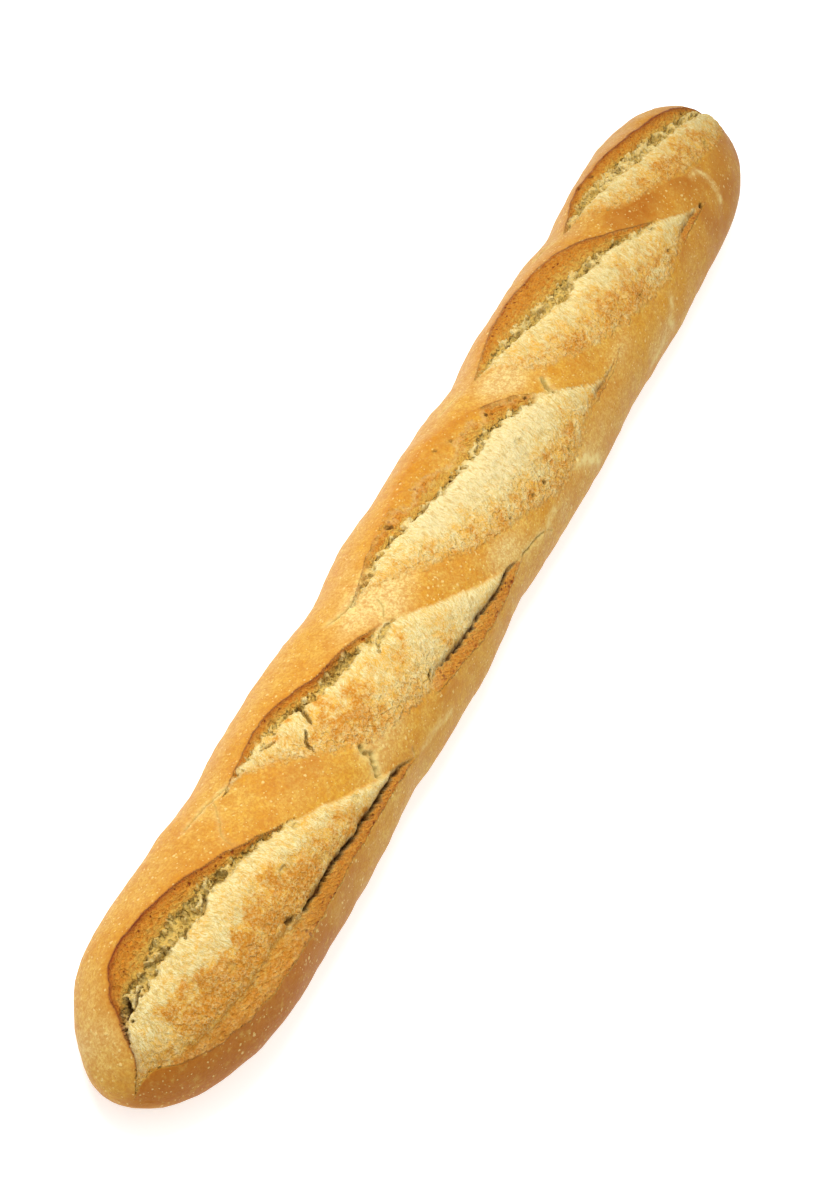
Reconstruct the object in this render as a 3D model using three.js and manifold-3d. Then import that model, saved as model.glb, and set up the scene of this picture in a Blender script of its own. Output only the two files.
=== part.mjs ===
// A baguette: one long loaf of white bread with a flat underside, rounded ends and five slanting
// slashes along its top. The thin crust stands open at each slash, and the crumb shows in the gap.
// Millimetres. +X runs along the loaf, +Z is up, and the loaf rests on Z = 0.
import * as THREE from "three";
import { mergeVertices } from "three/addons/utils/BufferGeometryUtils.js";
import Module from "manifold-3d";

// Driving dimensions.
const LENGTH = 550;
const WIDTH = 70;
const HEIGHT = 50;
const CRUST = 3; // how far the crumb lies under the crust where a slash is open

// The cross-section: an oval whose widest line is below the middle, cut flat underneath.
const WIDEST_AT = 0.42 * HEIGHT;
const BELLY = 0.6 * HEIGHT; // the lower half of the oval, most of which the flat underside cuts away
const NEAR_CAP = 68; // length of the rounded end at -X
const FAR_CAP = 64; // length of the rounded end at +X
const TIP_HEIGHT = 18; // both tips stand clear of the table
const TIP_CURL = 4; // both tips lean a little to +Y
const CURL_REACH = 110; // how much of each end takes part in the lean

// Facets.
const SIDES = 40;
const RINGS = 36; // along the barrel
const CAP_RINGS = 6; // on each rounded end
const OUTLINE_STEPS = 2; // between two points of a slash's outline
const WELD = 1e-3; // points closer than this are one


// Each slash opens between two lines on the crust, given as [mm along X, degrees round from the top].
// Degrees are positive towards +Y. Both lines run from the slash's -X end to its +X end.
const SLASHES = [
  {
    left: [[-268, -12], [-260, 22], [-246, 46], [-234, 50], [-219, 43], [-199, 27], [-180, 8],
      [-151, -19], [-115, -52]],
    right: [[-266, -26], [-252, -44], [-228, -49], [-180, -46], [-140, -46]],
  },
  {
    left: [[-168, 44], [-144, 48], [-133, 46], [-112, 30], [-86, 17], [-69, 1], [-44, -24], [-16, -48]],
    right: [[-160, 37], [-148, 12], [-130, -13], [-100, -34], [-72, -47], [-40, -53]],
  },
  {
    left: [[-76, 40], [-46, 46], [-24, 46], [0, 40], [22, 34], [44, 16], [62, -5], [82, -26], [104, -30]],
    right: [[-58, 17], [-36, -8], [-4, -31], [26, -49], [55, -38], [84, -36]],
  },
  {
    left: [[54, 54], [79, 60], [115, 59], [130, 49], [151, 24], [176, -7], [205, -30]],
    right: [[59, 34], [70, 5], [96, -16], [127, -28], [150, -38], [180, -32]],
  },
  {
    left: [[152, 57], [173, 65], [188, 66], [218, 50], [242, 37], [268, 22]],
    right: [[163, 38], [171, 22], [188, 10], [219, -13], [245, -20], [264, -30]],
  },
];

// The loaf swells between the slashes' ends and draws in where one starts or stops.
const WAIST = 2.2; // how deep a flank draws in
const WAIST_LENGTH = 17;

const wasm = await Module();
wasm.setup();

// A closed three.js geometry as a manifold-3d solid.
function solidFrom(geometry) {
  const bare = geometry.clone();
  bare.deleteAttribute("normal");
  bare.deleteAttribute("uv");
  const merged = mergeVertices(bare, WELD);
  const index = merged.index.array;
  const triangles = [];
  for (let i = 0; i < index.length; i += 3) {
    const [a, b, c] = [index[i], index[i + 1], index[i + 2]];
    if (a !== b && b !== c && c !== a) triangles.push(a, b, c);
  }
  return new wasm.Manifold(
    new wasm.Mesh({
      numProp: 3,
      vertProperties: new Float32Array(merged.attributes.position.array),
      triVerts: new Uint32Array(triangles),
    }),
  );
}

function geometryFrom(solid) {
  const { vertProperties, triVerts } = solid.getMesh();
  const geometry = new THREE.BufferGeometry();
  geometry.setAttribute("position", new THREE.BufferAttribute(new Float32Array(vertProperties), 3));
  geometry.setIndex(new THREE.BufferAttribute(new Uint32Array(triVerts), 1));
  geometry.computeVertexNormals();
  return geometry;
}

// How far one flank draws in at x: side is +1 for the +Y flank and -1 for the -Y flank.
function drawnIn(x, side) {
  const ends = SLASHES.map(({ left }) => (side > 0 ? left[0][0] : left[left.length - 1][0]));
  return ends
    .filter((end) => Math.abs(end) < LENGTH / 2 - NEAR_CAP / 2)
    .reduce((sum, end) => sum + WAIST * Math.exp(-(((x - end) / WAIST_LENGTH) ** 2)), 0);
}

// The section's size at x: 1 on the barrel, shrinking to 0 at either tip.
function shareAt(x) {
  const cap = x < 0 ? NEAR_CAP : FAR_CAP;
  const beyond = Math.max(0, Math.abs(x) - LENGTH / 2 + cap) / cap;
  return Math.sqrt(Math.max(0, 1 - beyond * beyond));
}

// A point of the loaf's skin at x and an angle round from the top. share is the section's size there,
// and inset moves the skin inwards.
function skinPoint(x, angle, share, inset) {
  const across = Math.sin(angle);
  const up = Math.cos(angle);
  const side = across < 0 ? -1 : 1;
  const halfWidth = WIDTH / 2 - inset - drawnIn(x, side) * Math.abs(across);
  const rise = up > 0 ? HEIGHT - WIDEST_AT - inset : BELLY - inset;
  const curl = TIP_CURL * Math.max(0, (Math.abs(x) - LENGTH / 2 + CURL_REACH) / CURL_REACH) ** 2;
  return new THREE.Vector3(
    x,
    share * halfWidth * across + curl,
    TIP_HEIGHT + share * (WIDEST_AT - TIP_HEIGHT + rise * up),
  );
}

// The whole loaf, inset everywhere by the same amount: a capsule whose points are moved to the skin.
function loaf(inset) {
  const barrel = LENGTH - NEAR_CAP - FAR_CAP;
  const capsule = new THREE.CapsuleGeometry(1, 2, CAP_RINGS, SIDES, RINGS);
  const place = capsule.attributes.position;
  for (let i = 0; i < place.count; i++) {
    const along = place.getY(i); // the capsule's own axis, -2 to 2 with its caps
    const beyond = Math.max(0, Math.abs(along) - 1);
    const share = Math.sqrt(Math.max(0, 1 - beyond * beyond));
    const angle = Math.atan2(-place.getX(i), place.getZ(i));
    const cap = (along < 0 ? NEAR_CAP : FAR_CAP) - inset;
    const onBarrel = -LENGTH / 2 + NEAR_CAP + (barrel * (THREE.MathUtils.clamp(along, -1, 1) + 1)) / 2;
    const x = onBarrel + Math.sign(along) * beyond * cap;
    const point = skinPoint(x, angle, share, inset);
    place.setXYZ(i, point.x, point.y, point.z);
  }
  return solidFrom(capsule);
}

// An upright prism over one slash's opening, from the loaf's widest line up: it takes the crust away.
function openingOver({ left, right }) {
  const plan = ([x, degrees]) => {
    const point = skinPoint(x, THREE.MathUtils.degToRad(degrees), shareAt(x), 0);
    return new THREE.Vector2(point.x, point.y);
  };
  const outline = [...left.map(plan), ...right.map(plan).reverse()];
  const shape = new THREE.Shape();
  shape.moveTo(outline[0].x, outline[0].y);
  shape.splineThru([...outline.slice(1), outline[0]]);
  const prism = new THREE.ExtrudeGeometry(shape, {
    depth: HEIGHT,
    bevelEnabled: false,
    curveSegments: OUTLINE_STEPS,
  });
  prism.translate(0, 0, WIDEST_AT);
  return solidFrom(prism);
}

// Everything below Z = 0, where the flat underside is.
function belowTable() {
  const block = new THREE.BoxGeometry(LENGTH * 2, WIDTH * 3, HEIGHT);
  block.translate(0, 0, -HEIGHT / 2);
  return solidFrom(block);
}

function baguetteSolid() {
  const crumb = loaf(CRUST);
  const crust = SLASHES.map(openingOver).reduce((body, opening) => body.subtract(opening), loaf(0));
  return crust.add(crumb).subtract(belowTable());
}

const baguette = new THREE.Mesh(
  geometryFrom(baguetteSolid()),
  new THREE.MeshStandardMaterial({ color: 0xd9953c, roughness: 0.62, metalness: 0 }),
);
baguette.name = "baguette";

// The origin is under the middle of the loaf's box, on the underside.
baguette.geometry.computeBoundingBox();
const middle = baguette.geometry.boundingBox.getCenter(new THREE.Vector3());
baguette.geometry.translate(-middle.x, -middle.y, 0);

const group = new THREE.Group();
group.add(baguette);

export default group;
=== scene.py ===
import math

import bpy
import numpy as np
from mathutils import Matrix, Vector, noise


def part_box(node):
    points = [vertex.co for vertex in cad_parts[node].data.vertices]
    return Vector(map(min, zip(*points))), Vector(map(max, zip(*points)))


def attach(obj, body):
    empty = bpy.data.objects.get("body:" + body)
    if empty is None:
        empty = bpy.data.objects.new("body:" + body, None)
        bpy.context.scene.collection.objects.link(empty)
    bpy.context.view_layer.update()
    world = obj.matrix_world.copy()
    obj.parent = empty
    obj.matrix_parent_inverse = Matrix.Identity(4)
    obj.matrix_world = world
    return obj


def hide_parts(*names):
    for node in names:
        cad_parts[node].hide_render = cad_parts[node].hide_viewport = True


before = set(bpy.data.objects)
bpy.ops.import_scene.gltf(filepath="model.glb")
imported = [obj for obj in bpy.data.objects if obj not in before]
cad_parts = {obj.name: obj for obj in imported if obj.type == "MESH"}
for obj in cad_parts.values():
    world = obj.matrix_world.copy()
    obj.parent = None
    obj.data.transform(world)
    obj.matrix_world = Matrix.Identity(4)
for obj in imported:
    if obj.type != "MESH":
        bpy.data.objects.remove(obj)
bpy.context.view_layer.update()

mm = 0.001

# The loaf's body in millimetres, from the frame's box: an oval section, widest below the middle
# and cut flat underneath.
loafLow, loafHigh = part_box("baguette")
body = {
    "length": (loafHigh.x - loafLow.x) / mm,
    "width": (loafHigh.y - loafLow.y) / mm,
    "height": (loafHigh.z - loafLow.z) / mm,
    "nearCap": 68,  # the rounded end at -X
    "farCap": 63,
    "nearArc": 1.22,  # how long each cap is over its curve, as a share of the cap
    "farArc": 1.24,
    "spare": 0.5,  # added to half the width, because the waists take it back
    "tipHeight": 18,
    "nearCurl": 3.0,  # how far each tip leans to +Y
    "farCurl": 2.3,
    "curlReach": 110,
    "widestAt": 0.42,  # share of the height
    "belly": 0.6,  # how far the oval would reach below its widest place, share of the height
    "bottomTurn": 2.5,  # the height over which the flank turns into the underside
    "segments": 64,  # of the sphere the loaf is shaped from
    "rings": 196,
}

# The flanks draw in beside the slashes' ends: place along the loaf, depth, reach.
waists = {
    "left": [(-248, -2.6, 28), (-168, 2.2, 15), (-74, 2.6, 17), (56, 2.6, 16), (154, 2.4, 15)],
    "right": [(-116, 1.4, 17), (-18, 1.6, 17), (101, 1.3, 17), (203, 1.0, 14)],
}

# Each slash opens between a left lip (+Y) and a right lip (-Y), drawn from its -X tip to its +X tip as
# (mm along, mm across). Under the left lip a torn face runs down to the crevice; the crumb starts beyond it.
# Where the right lip has a torn face too, it ends at the tear. The rows are (share of the way along, value).
slashes = [
    {  # at the near end
        "left": [(-273, -4), (-270, -1.5), (-266, 2), (-261, 9), (-253, 18), (-243, 23.6), (-231, 24.4),
                 (-217, 21.8), (-199, 15), (-180, 5), (-158, -7), (-137, -18), (-123, -24), (-112, -29)],
        "crevice": [(-273, -4), (-266, 4), (-261, 9.6), (-256, 14.2), (-249, 16.2), (-242, 15.6),
                    (-232, 17.6), (-223, 16.8), (-211, 14.8), (-204, 12.6), (-197, 9.8), (-188, 7),
                    (-176, 1.8), (-165, -3.2)],
        "crumbFrom": [(-273, -4), (-267, 2.8), (-262, 7.6), (-257, 10), (-251, 11.8), (-243, 11),
                      (-236, 12.6), (-230, 12), (-223, 9.8), (-216, 9.6), (-210, 10.6), (-203, 8.6),
                      (-195, 7), (-186, 4.8), (-176, 0.8), (-165, -3.9)],
        "right": [(-273, -4), (-269, -3), (-264, -5), (-258, -11.5), (-248, -18), (-232, -23), (-208, -26),
                  (-180, -26), (-148, -25.5), (-128, -27), (-112, -29)],
        "tear": [(-266, -4.5), (-257, -9), (-246, -12.5), (-238, -15), (-228, -16.5), (-214, -17.4),
                 (-205, -18), (-198, -20.6), (-187, -21.4), (-172, -22.2), (-161, -22.8), (-147, -23.4),
                 (-134, -24.7), (-124, -26), (-112, -29)],
        "ear": [(0, 0.3), (0.12, 1.5), (0.3, 2.2), (0.45, 1.6), (0.6, 0.6), (0.7, 0.1), (1, 0)],
        "edge": [(0, 0.2), (0.07, 0.7), (0.3, 1), (0.42, 0.6), (0.55, 0.25), (0.65, 0), (1, 0)],
        "gap": [(0, 0.8), (0.06, 1.8), (0.12, 3.2), (0.45, 3), (0.6, 1.6), (1, 0)],
        "ridge": [(0, 0.4), (0.3, 0.7), (0.6, 1.0), (0.9, 0.6), (1, 0.1)],
        "gapRight": [(0, 0), (0.42, 0), (0.5, 1.5), (0.6, 4.5), (0.9, 4.5), (1, 1.5)],
        "softLeft": 0.3, "softRight": 0.6, "dome": 1.7, "pitted": 0.25, "tornReach": 40,
        "brownAndShadeEdge": [(0, 0.9), (0.4, 0.9), (0.6, 0.5), (0.8, 0.1), (1, 0)],
    },
    {  # the second
        "left": [(-171, 24.5), (-157, 25.5), (-144, 26), (-133, 25), (-124, 22), (-112, 17.5), (-97, 14),
                 (-80, 8), (-69, 1), (-57, -6), (-44, -13.5), (-28, -20.5), (-12, -26)],
        "crevice": [(-171, 24.5), (-162, 24.6), (-152, 24), (-145, 23.2), (-134, 22.6), (-127, 19.6),
                    (-118, 16.2), (-107, 15), (-98, 12.8), (-90, 9.6), (-82, 7.6)],
        "crumbFrom": [(-171, 24.5), (-162, 23.4), (-152, 22.2), (-145, 20.6), (-134, 19.6), (-127, 16.6),
                      (-118, 12.8), (-107, 11), (-98, 9.4), (-90, 7.4), (-82, 6.4)],
        "right": [(-171, 24.5), (-162, 21), (-154, 14), (-140, -0.5), (-130, -8.5), (-118, -14),
                  (-99, -19.5), (-80, -24), (-56, -27), (-33, -27.5), (-12, -26)],
        "tear": [(-92, -19.4), (-84, -19.2), (-71, -21.2), (-59, -22.4), (-47, -23.2), (-33, -24),
                 (-19, -25), (-12, -26)],
        "ear": [(0, 0.2), (0.2, 1.1), (0.35, 1.3), (0.5, 0.7), (0.6, 0.2), (1, 0)],
        "edge": [(0, 0.2), (0.15, 0.6), (0.35, 0.8), (0.5, 0.3), (0.6, 0), (1, 0)],
        "gap": [(0, 1), (0.12, 1.4), (0.4, 2), (0.62, 1.2), (1, 0)],
        "ridge": [(0, 0.1), (0.5, 0.4), (0.8, 0.9), (1, 0.2)],
        "gapRight": [(0, 0), (0.5, 0), (0.58, 1.2), (0.68, 3.4), (0.93, 3.4), (1, 1)],
        "softLeft": 0.5, "softRight": 2.6, "dome": 1.2, "pitted": 0.6, "tornReach": 40,
        "brownAndShadeEdge": [(0, 0), (1, 0.2)],
    },
    {  # the middle one
        "left": [(-78, 21), (-70, 22.5), (-60, 24), (-46, 26), (-28, 27.5), (-10, 29), (4, 28.5),
                 (17, 26.5), (32, 20.5), (44, 12.5), (56, 2), (64, -5), (73, -12), (85, -17), (103, -17)],
        "crevice": [(-78, 21), (-66, 21.7), (-58, 22.4), (-48, 22.8), (-42, 22.2), (-36, 20.6), (-29, 19.9),
                    (-22, 18), (-15, 17.2), (-8, 15.6), (-1, 14.8), (7, 13), (16, 13.2), (24, 13), (32, 11),
                    (40, 7.6), (48, 3.4), (54, 0.6)],
        "crumbFrom": [(-78, 21), (-66, 20.6), (-58, 20.8), (-48, 21), (-42, 20.4), (-36, 18.8), (-29, 18),
                      (-22, 16.2), (-15, 15.4), (-8, 14), (-1, 13.2), (7, 11.2), (16, 10.8), (24, 10.6),
                      (32, 9), (40, 6), (48, 2), (54, 0)],
        "right": [(-78, 21), (-68, 17), (-57, 9.5), (-47, 2), (-36, -5), (-22, -12), (-4, -18), (13, -23),
                  (28, -26.5), (44, -25), (58, -21.5), (76, -20), (91, -19.5), (103, -17)],
        "tear": [(70, -18.6), (79, -19), (91, -18.8), (103, -17)],
        "ear": [(0, 0.1), (0.12, 0.7), (0.3, 1.5), (0.5, 1.6), (0.66, 0.9), (0.76, 0.1), (1, 0)],
        "edge": [(0, 0), (0.1, 0.2), (0.2, 0), (0.5, 0), (0.62, 0.3), (0.7, 0), (1, 0)],
        "gap": [(0, 1.4), (0.1, 2.2), (0.3, 2.4), (0.6, 2.4), (0.72, 1), (1, 0)],
        "ridge": [(0, 0), (0.5, 0.1), (0.8, 0.3), (1, 0.1)],
        "gapRight": [(0, 0), (0.76, 0), (0.82, 1.6), (0.94, 2.2), (1, 0.6)],
        "softLeft": 4.0, "softRight": 3.6, "dome": 1.5, "pitted": 0.15, "tornReach": 5.5,
        "brownAndShadeEdge": [(0, 0), (1, 0)],
    },
    {  # the fourth
        "left": [(53, 28.5), (62, 29.5), (79, 30.5), (96, 31), (115, 30), (130, 26.5), (142, 21), (151, 14),
                 (162, 5), (176, -4), (190, -11.5), (204, -17.5)],
        "crevice": [(53, 28.5), (62, 28.2), (71, 27.4), (79, 26.2), (86, 25.2), (97, 22.8), (107, 20.2),
                    (116, 19.2), (123, 18.2), (128, 15.6), (139, 12.6), (149, 9.4), (159, 3.6), (168, -0.6),
                    (175, -3.4)],
        "crumbFrom": [(53, 28.5), (60, 26.2), (70, 23.6), (81, 21.2), (92, 18.6), (98, 16.8), (104, 14.8),
                      (112, 12.4), (122, 13), (130, 10.6), (140, 8.4), (148, 6.8), (157, 2.2), (166, -1.8),
                      (175, -4.2)],
        "right": [(53, 28.5), (58, 22), (61, 14), (67, 5), (79, -2), (96, -9.5), (110, -14.5), (127, -17),
                  (140, -20), (152, -21), (168, -19), (186, -18), (204, -17.5)],
        "tear": [(172, -16.6), (180, -15.6), (190, -15.6), (197, -16.2), (204, -17.5)],
        "ear": [(0, 0.3), (0.12, 1.3), (0.35, 2.0), (0.5, 1.6), (0.66, 0.6), (0.8, 0), (1, 0)],
        "edge": [(0, 0), (0.15, 0.4), (0.4, 0.45), (0.6, 0.6), (0.72, 0.2), (0.8, 0), (1, 0)],
        "gap": [(0, 1.2), (0.15, 2.4), (0.4, 2.6), (0.62, 2), (0.76, 0.8), (1, 0)],
        "ridge": [(0, 0), (0.5, 0.1), (0.8, 0.4), (1, 0.1)],
        "gapRight": [(0, 0), (0.74, 0), (0.82, 1.4), (0.93, 2), (1, 0.6)],
        "softLeft": 1.4, "softRight": 3.2, "dome": 1.3, "pitted": 0.9, "tornReach": 40,
        "brownAndShadeEdge": [(0, 0), (1, 0.2)],
    },
    {  # at the far end
        "left": [(150, 29), (160, 30.5), (173, 32), (187, 31.6), (201, 29.8), (218, 25.6), (236, 20.6),
                 (253, 14.8), (266, 8), (272, 2)],
        "crevice": [(150, 29), (160, 29.8), (173, 30), (183, 29), (195, 26.2), (202, 25), (208, 23.3),
                    (214, 21.4), (221, 19.8), (228, 17.3), (238, 14.2), (249, 11.2), (260, 8.4), (267, 5),
                    (272, 2)],
        "crumbFrom": [(150, 29), (158, 27.6), (169, 26.2), (182, 22.6), (193, 20.3), (203, 16.8),
                      (217, 13.8), (230, 11.2), (240, 9), (247, 7.2), (258, 5), (266, 3.2), (272, 2)],
        "right": [(150, 29), (158, 26), (164, 21), (171, 13.5), (180, 8.5), (190, 5), (204, -1),
                  (221, -6.5), (245, -8.5), (262, -7), (272, 2)],
        "tear": [(230, -7), (250, -7.6), (264, -5.4)],
        "ear": [(0, 0.3), (0.2, 1.5), (0.5, 2.2), (0.8, 1.4), (1, 0.3)],
        "edge": [(0, 0.2), (0.2, 0.7), (0.5, 0.8), (0.8, 0.9), (1, 0.6)],
        "gap": [(0, 1.4), (0.2, 2), (0.5, 2.8), (0.8, 2.2), (1, 0.8)],
        "ridge": [(0, 0), (0.5, 0.1), (0.8, 0.3), (1, 0.1)],
        "gapRight": [(0, 0), (1, 0)],
        "softLeft": 0.8, "softRight": 2.6, "dome": 1.2, "pitted": 0.7, "tornReach": 40,
        "brownAndShadeEdge": [(0, 0.2), (1, 0.4)],
    },
]

# The crumb's height across a slash, from where it starts to the right lip.
domeRow = [(0, 0), (0.08, 0.5), (0.22, 0.85), (0.5, 0.6), (0.8, 0.15), (1, -0.1)]

# Holes and hollows: (mm along, mm across) of each line's points, its radius, its depth, how dark the painted
# shade in it is.
hollows = [
    ([(-251, 15), (-257, 11.5)], 0.9, 3.0, 0.9), ([(-246, 13.3), (-253, 11)], 0.6, 2.4, 0.6),
    ([(-236, 12.5), (-231, 12.5)], 2.0, 2.2, 0.1), ([(-222, 11), (-226, 9)], 0.6, 2.0, 0.4),
    ([(-208, 12), (-212, 10), (-216, 8)], 0.8, 2.4, 0.4), ([(-219, 14), (-217, 13.6)], 1.4, 1.6, 0.1),
    ([(-204, 10.6), (-199, 9)], 1.5, 1.8, 0.1), ([(-201, -17.6), (-199, -18)], 1.3, 1.8, 0.8),
    ([(-193, -20.2), (-187, -21)], 0.9, 2.4, 0.9), ([(-181, 4), (-180, 3.6)], 1.2, 0.6, 0),
    ([(-171, -3), (-170, -3.4)], 1.0, 0.6, 0.1), ([(-147, -16), (-148, -15.4)], 1.1, 0.6, 0.1),
    ([(-187, -7), (-189, -7)], 1.3, 0.6, 0), ([(-227, -9.6), (-226, -9.8)], 1.8, 0.6, 0),
    ([(-112, 14.6), (-103, 12), (-95, 9.8)], 1.5, 1.8, 0.15),
    ([(-134, 21), (-128, 18.6), (-122, 15.6)], 1.1, 1.6, 0.25),
    ([(-125, 17.5), (-129, 14), (-132, 10)], 0.8, 2.2, 0.4),
    ([(-135, 11), (-140, 8), (-141, 4.7)], 0.5, 1.8, 0.45), ([(-144, 18), (-149, 20.6)], 0.7, 1.2, 0.4),
    ([(-84, -16), (-88, -18.5)], 0.5, 1.5, 0.4), ([(-76, 4.6), (-86, 5.4), (-92, 3)], 1.1, 1.2, 0),
    ([(-35, 24.6), (-34.4, 24.2)], 1.1, 2.4, 1), ([(-3, 14.2), (-2.4, 14)], 0.6, 1.6, 1),
    ([(33.4, 15.8), (33.9, 15.6)], 0.5, 1.0, 1), ([(35, 13.8), (35.4, 13.6)], 0.4, 0.9, 1),
    ([(49, 5.9), (49.5, 5.7)], 0.5, 1.0, 1), ([(15, 21.8), (15.4, 21.6)], 0.4, 0.8, 0.8),
    ([(7.6, 24.7), (8.4, 24.3)], 0.6, 1.1, 1), ([(19.4, 19.3), (20, 19)], 0.4, 0.8, 0.7),
    ([(44.4, 10.6), (44.8, 10.3)], 0.4, 0.8, 0.8), ([(-43, 21.2), (-37, 19.4)], 0.6, 1.4, 0.5),
    ([(-24, 17), (-18, 16.4)], 0.7, 1.6, 0.5), ([(27, -1.1), (27.4, -1.3)], 1.7, 0.5, 0),
    ([(42, -20), (42.3, -20.3)], 0.8, 1.0, 0.6), ([(20, -18), (20.5, -18.2)], 0.8, 1.0, 0.7),
    ([(11, -16.5), (11.4, -16.6)], 0.6, 0.9, 0.7), ([(-6, -13.6), (-5, -13.9)], 0.6, 0.9, 0.6),
    ([(73, 23.6), (76, 22.9)], 0.9, 2.2, 0.95), ([(82, 22.8), (87, 22)], 1.1, 1.6, 0.3),
    ([(94, 21), (101, 19)], 1.4, 1.8, 0.2), ([(109, 14.6), (112, 13.8)], 1.1, 1.5, 0.1),
    ([(119, 16.8), (118, 14.5)], 1.4, 2.2, 0.3), ([(128, 12.6), (134, 9.8)], 1.3, 1.4, 0.05),
    ([(148, 8), (153, 5.8)], 1.0, 1.7, 0.25), ([(200, -17), (201, -16.8)], 1.1, 2.4, 1),
    ([(164, -13.8), (164.4, -14)], 0.6, 1.0, 0.8), ([(132, -13.3), (132.3, -13.5)], 0.6, 1.0, 0.7),
    ([(226, 16), (219, 17)], 2.3, 2.0, 0.15), ([(203, 22), (204, 21.4)], 1.2, 1.8, 0.2),
    ([(195, 24), (198, 23)], 1.2, 1.8, 0.25), ([(183, 25.6), (187, 24.8)], 1.1, 1.6, 0.2),
    ([(178, 24), (179, 23.6)], 0.8, 1.6, 0.5), ([(176, 28.2), (179, 27.8)], 1.1, 1.4, 0.2),
    ([(166, 28.4), (171, 28.2)], 1.0, 1.4, 0.2), ([(240, 11.8), (246, 10.2)], 1.1, 1.8, 0.3),
    ([(255, 7.4), (260, 6)], 1.1, 1.8, 0.6), ([(234, -3.9), (236, -4.4)], 2.4, 0.9, 0),
    ([(173, 16), (173.4, 15.6)], 0.4, 0.6, 1), ([(168, 17.6), (168.4, 17)], 0.4, 0.6, 1),
    ([(190, 30.4), (190.5, 30.3)], 0.7, 1.0, 1), ([(182, 31.6), (183, 31.6)], 0.8, 1.0, 0.9),
    ([(252, 12.4), (252.5, 12.2)], 0.8, 1.0, 1),
]

# Cracks in the crust, and pale veins, which have no depth: the line, its width, its depth and how pale
# its edges are.
cracks = [
    ([(64, 4.6), (60, 0.6), (59, -4.2), (61, -8)], 0.9, 2.2, 1.0),
    ([(-127, -6), (-130, -10), (-129, -14), (-133, -18), (-134, -23)], 0.9, 2.2, 1.0),
    ([(-72, 21.6), (-78, 22.2), (-83, 23), (-89, 25)], 0.45, 0.9, 0.7),
    ([(-70, 14.5), (-73, 10.5), (-78, 8)], 0.35, 0.7, 0.5),
    ([(-165, 24.5), (-171, 26.6), (-180, 28), (-190, 28)], 0.4, 0.9, 0.7),
    ([(-173, 27), (-180, 21), (-187, 16), (-190, 10)], 0.3, 0.5, 0.3),
    ([(-14, -25.6), (-4, -26.2), (6, -28.2)], 0.4, 0.9, 0.7),
    ([(6, -28.2), (11, -31)], 0.3, 0.5, 0.4),
    ([(-114, -28.2), (-113, -25)], 0.35, 0.7, 0.4),
    ([(6, -28.2), (12, -26.9), (18, -27.1)], 0.4, 0, 0.7),
    ([(36, -22), (43, -25.3), (48, -27.6), (53, -31), (59, -34)], 1.3, 0, 1.0),
    ([(147, -24), (145, -27.1), (140, -29.8), (143, -33.8)], 0.5, 0, 0.8),
    ([(132, -32), (124, -32.6), (116, -33.8)], 0.5, 0, 0.7),
    ([(209, -6), (215, -7.8), (217, -12.9), (216, -18.2), (215, -22.5), (212, -25.6)], 0.35, 0, 0.8),
    ([(-112, -29), (-98, -29.4), (-84, -31)], 0.4, 0, 0.5),
    ([(46, 29), (38, 30.6), (28, 31)], 0.4, 0.5, 0.5),
    ([(145, 29.6), (139, 31.4), (131, 32.4)], 0.4, 0.6, 0.5),
]

# Where the oven browned the crumb more (or less, below 0): (mm along, mm across), reach, amount.
roasts = [
    ((-193, -3), 6, 0.9), ((-181, -13.8), 6, 0.7), ((-207, -6.5), 5, 0.8), ((-235, -3.9), 6, 0.8),
    ((-242, 0.6), 5, 0.7), ((-217, -8), 5, 0.5), ((-250, 1.6), 4, 0.6), ((-228, -15), 8, 1.0),
    ((-190, -13), 9, 0.6), ((-205, -11), 8, 0.7), ((-219, -12), 8, 0.8), ((-170, -12), 8, 0.6),
    ((-155, -16), 8, 0.5), ((-240, -13), 8, 1.0), ((-248, -7.2), 6, 0.8), ((-213, -18.8), 7, 0.9),
    ((-200, -14), 6, 0.4), ((-98, 5.2), 4, 0.8), ((-110, 4.1), 5, 0.7), ((-120, 12.9), 4, 1.0),
    ((-127, 10.8), 4, 0.9), ((-133, 18.5), 4, 1.0), ((-144, 20.9), 4, 0.9), ((-117, 2.5), 7, 0.8),
    ((-120, -4.7), 7, 0.6), ((-130, 1.3), 6, 0.5), ((-82, -2), 4, 0.6), ((-89, -5), 4, 0.4),
    ((-68, -12), 6, 0.4), ((31, -9.8), 5, 0.4), ((-17, 4.4), 5, 0.3), ((9, -13.2), 7, 0.5),
    ((-8, -8), 7, 0.5), ((-22, -5.5), 6, 0.4), ((47, -12), 8, 0.4), ((30, -19), 8, 0.4), ((-38, 3), 7, 0.4),
    ((113, 1.6), 7, 0.5), ((131, -10), 9, 0.8), ((90, -0.5), 7, 0.7), ((136, 1.4), 7, 0.5),
    ((155, -8), 8, 0.6), ((117, -6), 8, 0.6), ((235, 3.8), 6, 0.6), ((208, 3.6), 6, 0.9),
    ((203, 9.5), 5, 0.6), ((222, 5.8), 6, 0.8), ((231, -6), 6, 0.7), ((189, 11.4), 5, 0.4),
    ((-12, 9), 13, -0.9), ((10, 2), 13, -0.9), ((28, 0), 12, -0.7), ((-30, 12), 9, -0.8),
    ((46, -2), 9, -0.7), ((128, 4), 10, -0.5), ((-78, -10), 8, -0.6), ((-50, -14), 10, -0.6),
]
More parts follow.
